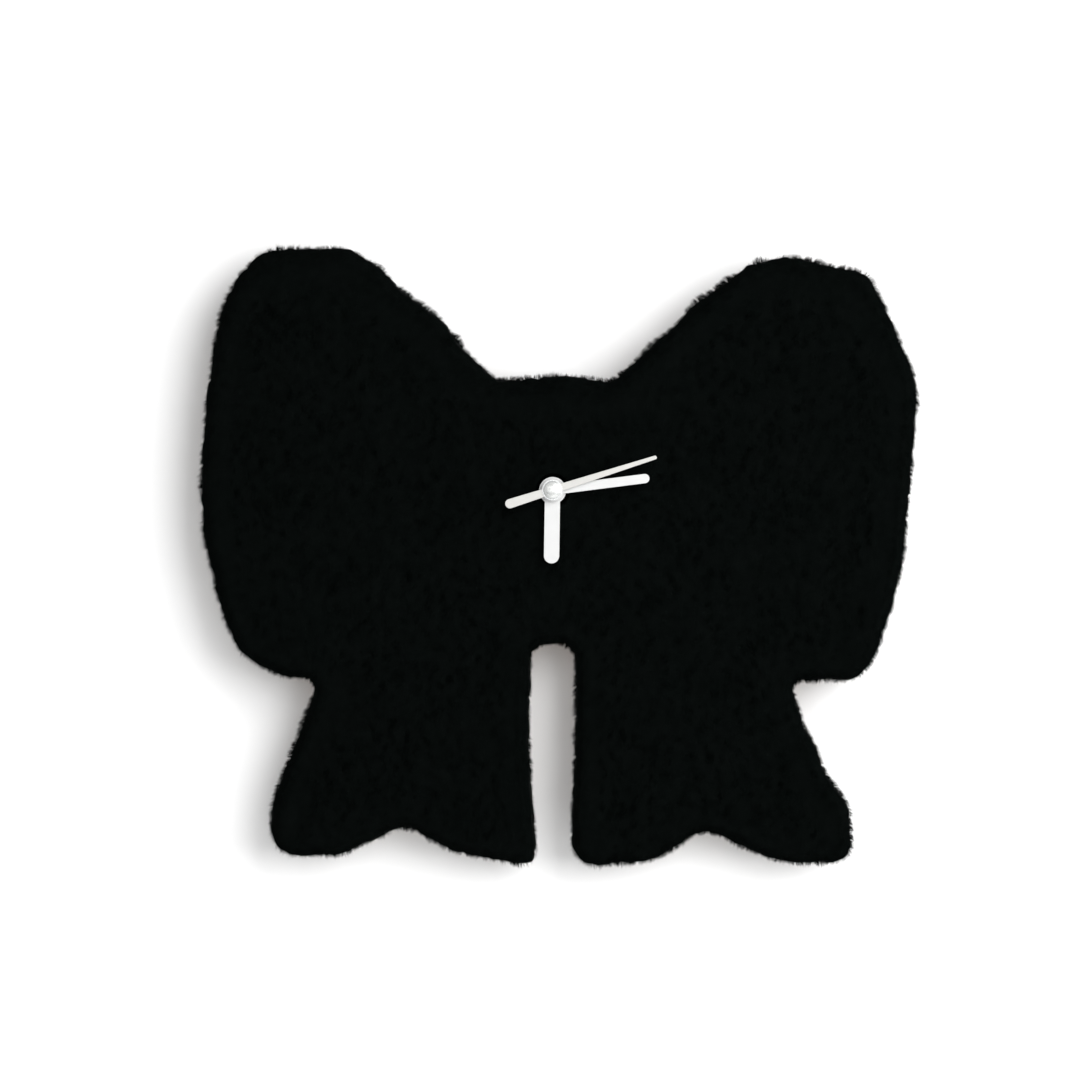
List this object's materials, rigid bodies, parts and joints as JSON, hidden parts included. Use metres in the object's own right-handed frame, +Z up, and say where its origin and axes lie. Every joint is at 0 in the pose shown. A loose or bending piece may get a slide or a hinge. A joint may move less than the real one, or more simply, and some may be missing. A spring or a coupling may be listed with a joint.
{
  "type": "wall clock",
  "caption": "Bow-shaped wall clock covered in black long-pile fabric, with plain white hands and a quartz movement behind the padded board.",
  "frame": {"origin": "where the hand axis meets the wall, on the movement's flat back", "axes": "+Z up, -Y out of the dial towards the viewer, +X to the right as seen from the front"},
  "size_m": [0.3341, 0.0371, 0.2879],
  "materials": {
    "black_pile": "long dense pile on a woven backing",
    "board": "raw fibreboard",
    "case_plastic": "fine-grained black moulding",
    "gear_plastic": "natural acetal",
    "brass": "turned brass",
    "rubber": "matt black rubber",
    "sheet_steel": "zinc-plated sheet steel",
    "core_steel": "soft iron lamination",
    "magnet": "sintered ferrite",
    "bobbin": "natural nylon",
    "winding": "enamelled copper wire",
    "circuit_board": "green solder mask",
    "epoxy": "black epoxy",
    "crystal_can": "nickel-plated can",
    "cell_jacket": "printed film jacket without lettering",
    "knob_plastic": "pale moulding",
    "hand_white": "white lacquer on aluminium sheet",
    "second_hand_white": "off-white lacquer",
    "cap": "pearly polished dome",
    "axle_steel": "bright steel"
  },
  "bodies": {
    "clock_body": {"fur_cover": "black_pile", "backing_board": "board", "front_case": "case_plastic", "rear_case": "case_plastic", "gear_plate": "gear_plastic", "threaded_bushing": "brass", "hex_nut": "brass", "brass_washer": "brass", "rubber_washer": "rubber", "hanger_plate": "sheet_steel", "stator_plate": "core_steel", "coil_core": "core_steel", "coil_bobbin": "bobbin", "coil_winding": "winding", "circuit_board": "circuit_board", "clock_chip": "epoxy", "quartz_crystal": "crystal_can", "battery": "cell_jacket", "positive_contact": "sheet_steel", "negative_contact": "sheet_steel"},
    "seconds": {"second_wheel": "axle_steel", "second_hand": "second_hand_white", "second_hand_tube": "brass", "hand_cap": "cap"},
    "rotor": {"rotor_magnet": "magnet", "rotor_pinion": "gear_plastic"},
    "intermediate": {"intermediate_wheel": "gear_plastic"},
    "third": {"third_wheel": "gear_plastic"},
    "centre": {"centre_wheel": "gear_plastic"},
    "minutes": {"minute_arbor": "brass", "clutch_spring": "sheet_steel", "minute_hand": "hand_white"},
    "minute_reduction": {"minute_wheel": "gear_plastic"},
    "hours": {"hour_wheel": "gear_plastic", "hour_hand": "hand_white"},
    "setting": {"setting_knob": "knob_plastic"}
  },
  "joints": [
    {"name": "second_hand_turn", "type": "hinge", "parent": "clock_body", "child": "seconds", "pos_m": [0, -0.008, 0], "axis": [0, 1, 0], "continuous": true},
    {"name": "rotor_turn", "type": "hinge", "parent": "clock_body", "child": "rotor", "pos_m": [-0.01185, -0.008, 0.01039], "axis": [0, 1, 0], "continuous": true},
    {"name": "intermediate_turn", "type": "hinge", "parent": "clock_body", "child": "intermediate", "pos_m": [-0.00579, -0.008, 0.00689], "axis": [0, 1, 0], "continuous": true},
    {"name": "third_turn", "type": "hinge", "parent": "clock_body", "child": "third", "pos_m": [0.01015, -0.008, 0.00369], "axis": [0, 1, 0], "continuous": true},
    {"name": "centre_turn", "type": "hinge", "parent": "clock_body", "child": "centre", "pos_m": [0, -0.008, 0], "axis": [0, 1, 0], "continuous": true},
    {"name": "minute_hand_turn", "type": "hinge", "parent": "clock_body", "child": "minutes", "pos_m": [0, -0.008, 0], "axis": [0, 1, 0], "continuous": true},
    {"name": "minute_wheel_turn", "type": "hinge", "parent": "clock_body", "child": "minute_reduction", "pos_m": [0, -0.008, 0.0084], "axis": [0, 1, 0], "continuous": true},
    {"name": "hour_hand_turn", "type": "hinge", "parent": "clock_body", "child": "hours", "pos_m": [0, -0.008, 0], "axis": [0, 1, 0], "continuous": true},
    {"name": "knob_turn", "type": "hinge", "parent": "clock_body", "child": "setting", "pos_m": [0.0042, -0.008, 0.01567], "axis": [0, 1, 0], "continuous": true}
  ],
  "couplings": [
    {"joint": "rotor_turn", "follows": "second_hand_turn", "ratio": 30},
    {"joint": "intermediate_turn", "follows": "second_hand_turn", "ratio": -5},
    {"joint": "third_turn", "follows": "second_hand_turn", "ratio": -0.125},
    {"joint": "centre_turn", "follows": "second_hand_turn", "ratio": 0.016667},
    {"joint": "minute_wheel_turn", "follows": "minute_hand_turn", "ratio": -0.33333},
    {"joint": "hour_hand_turn", "follows": "minute_hand_turn", "ratio": 0.083333},
    {"joint": "knob_turn", "follows": "minute_hand_turn", "ratio": 1}
  ]
}
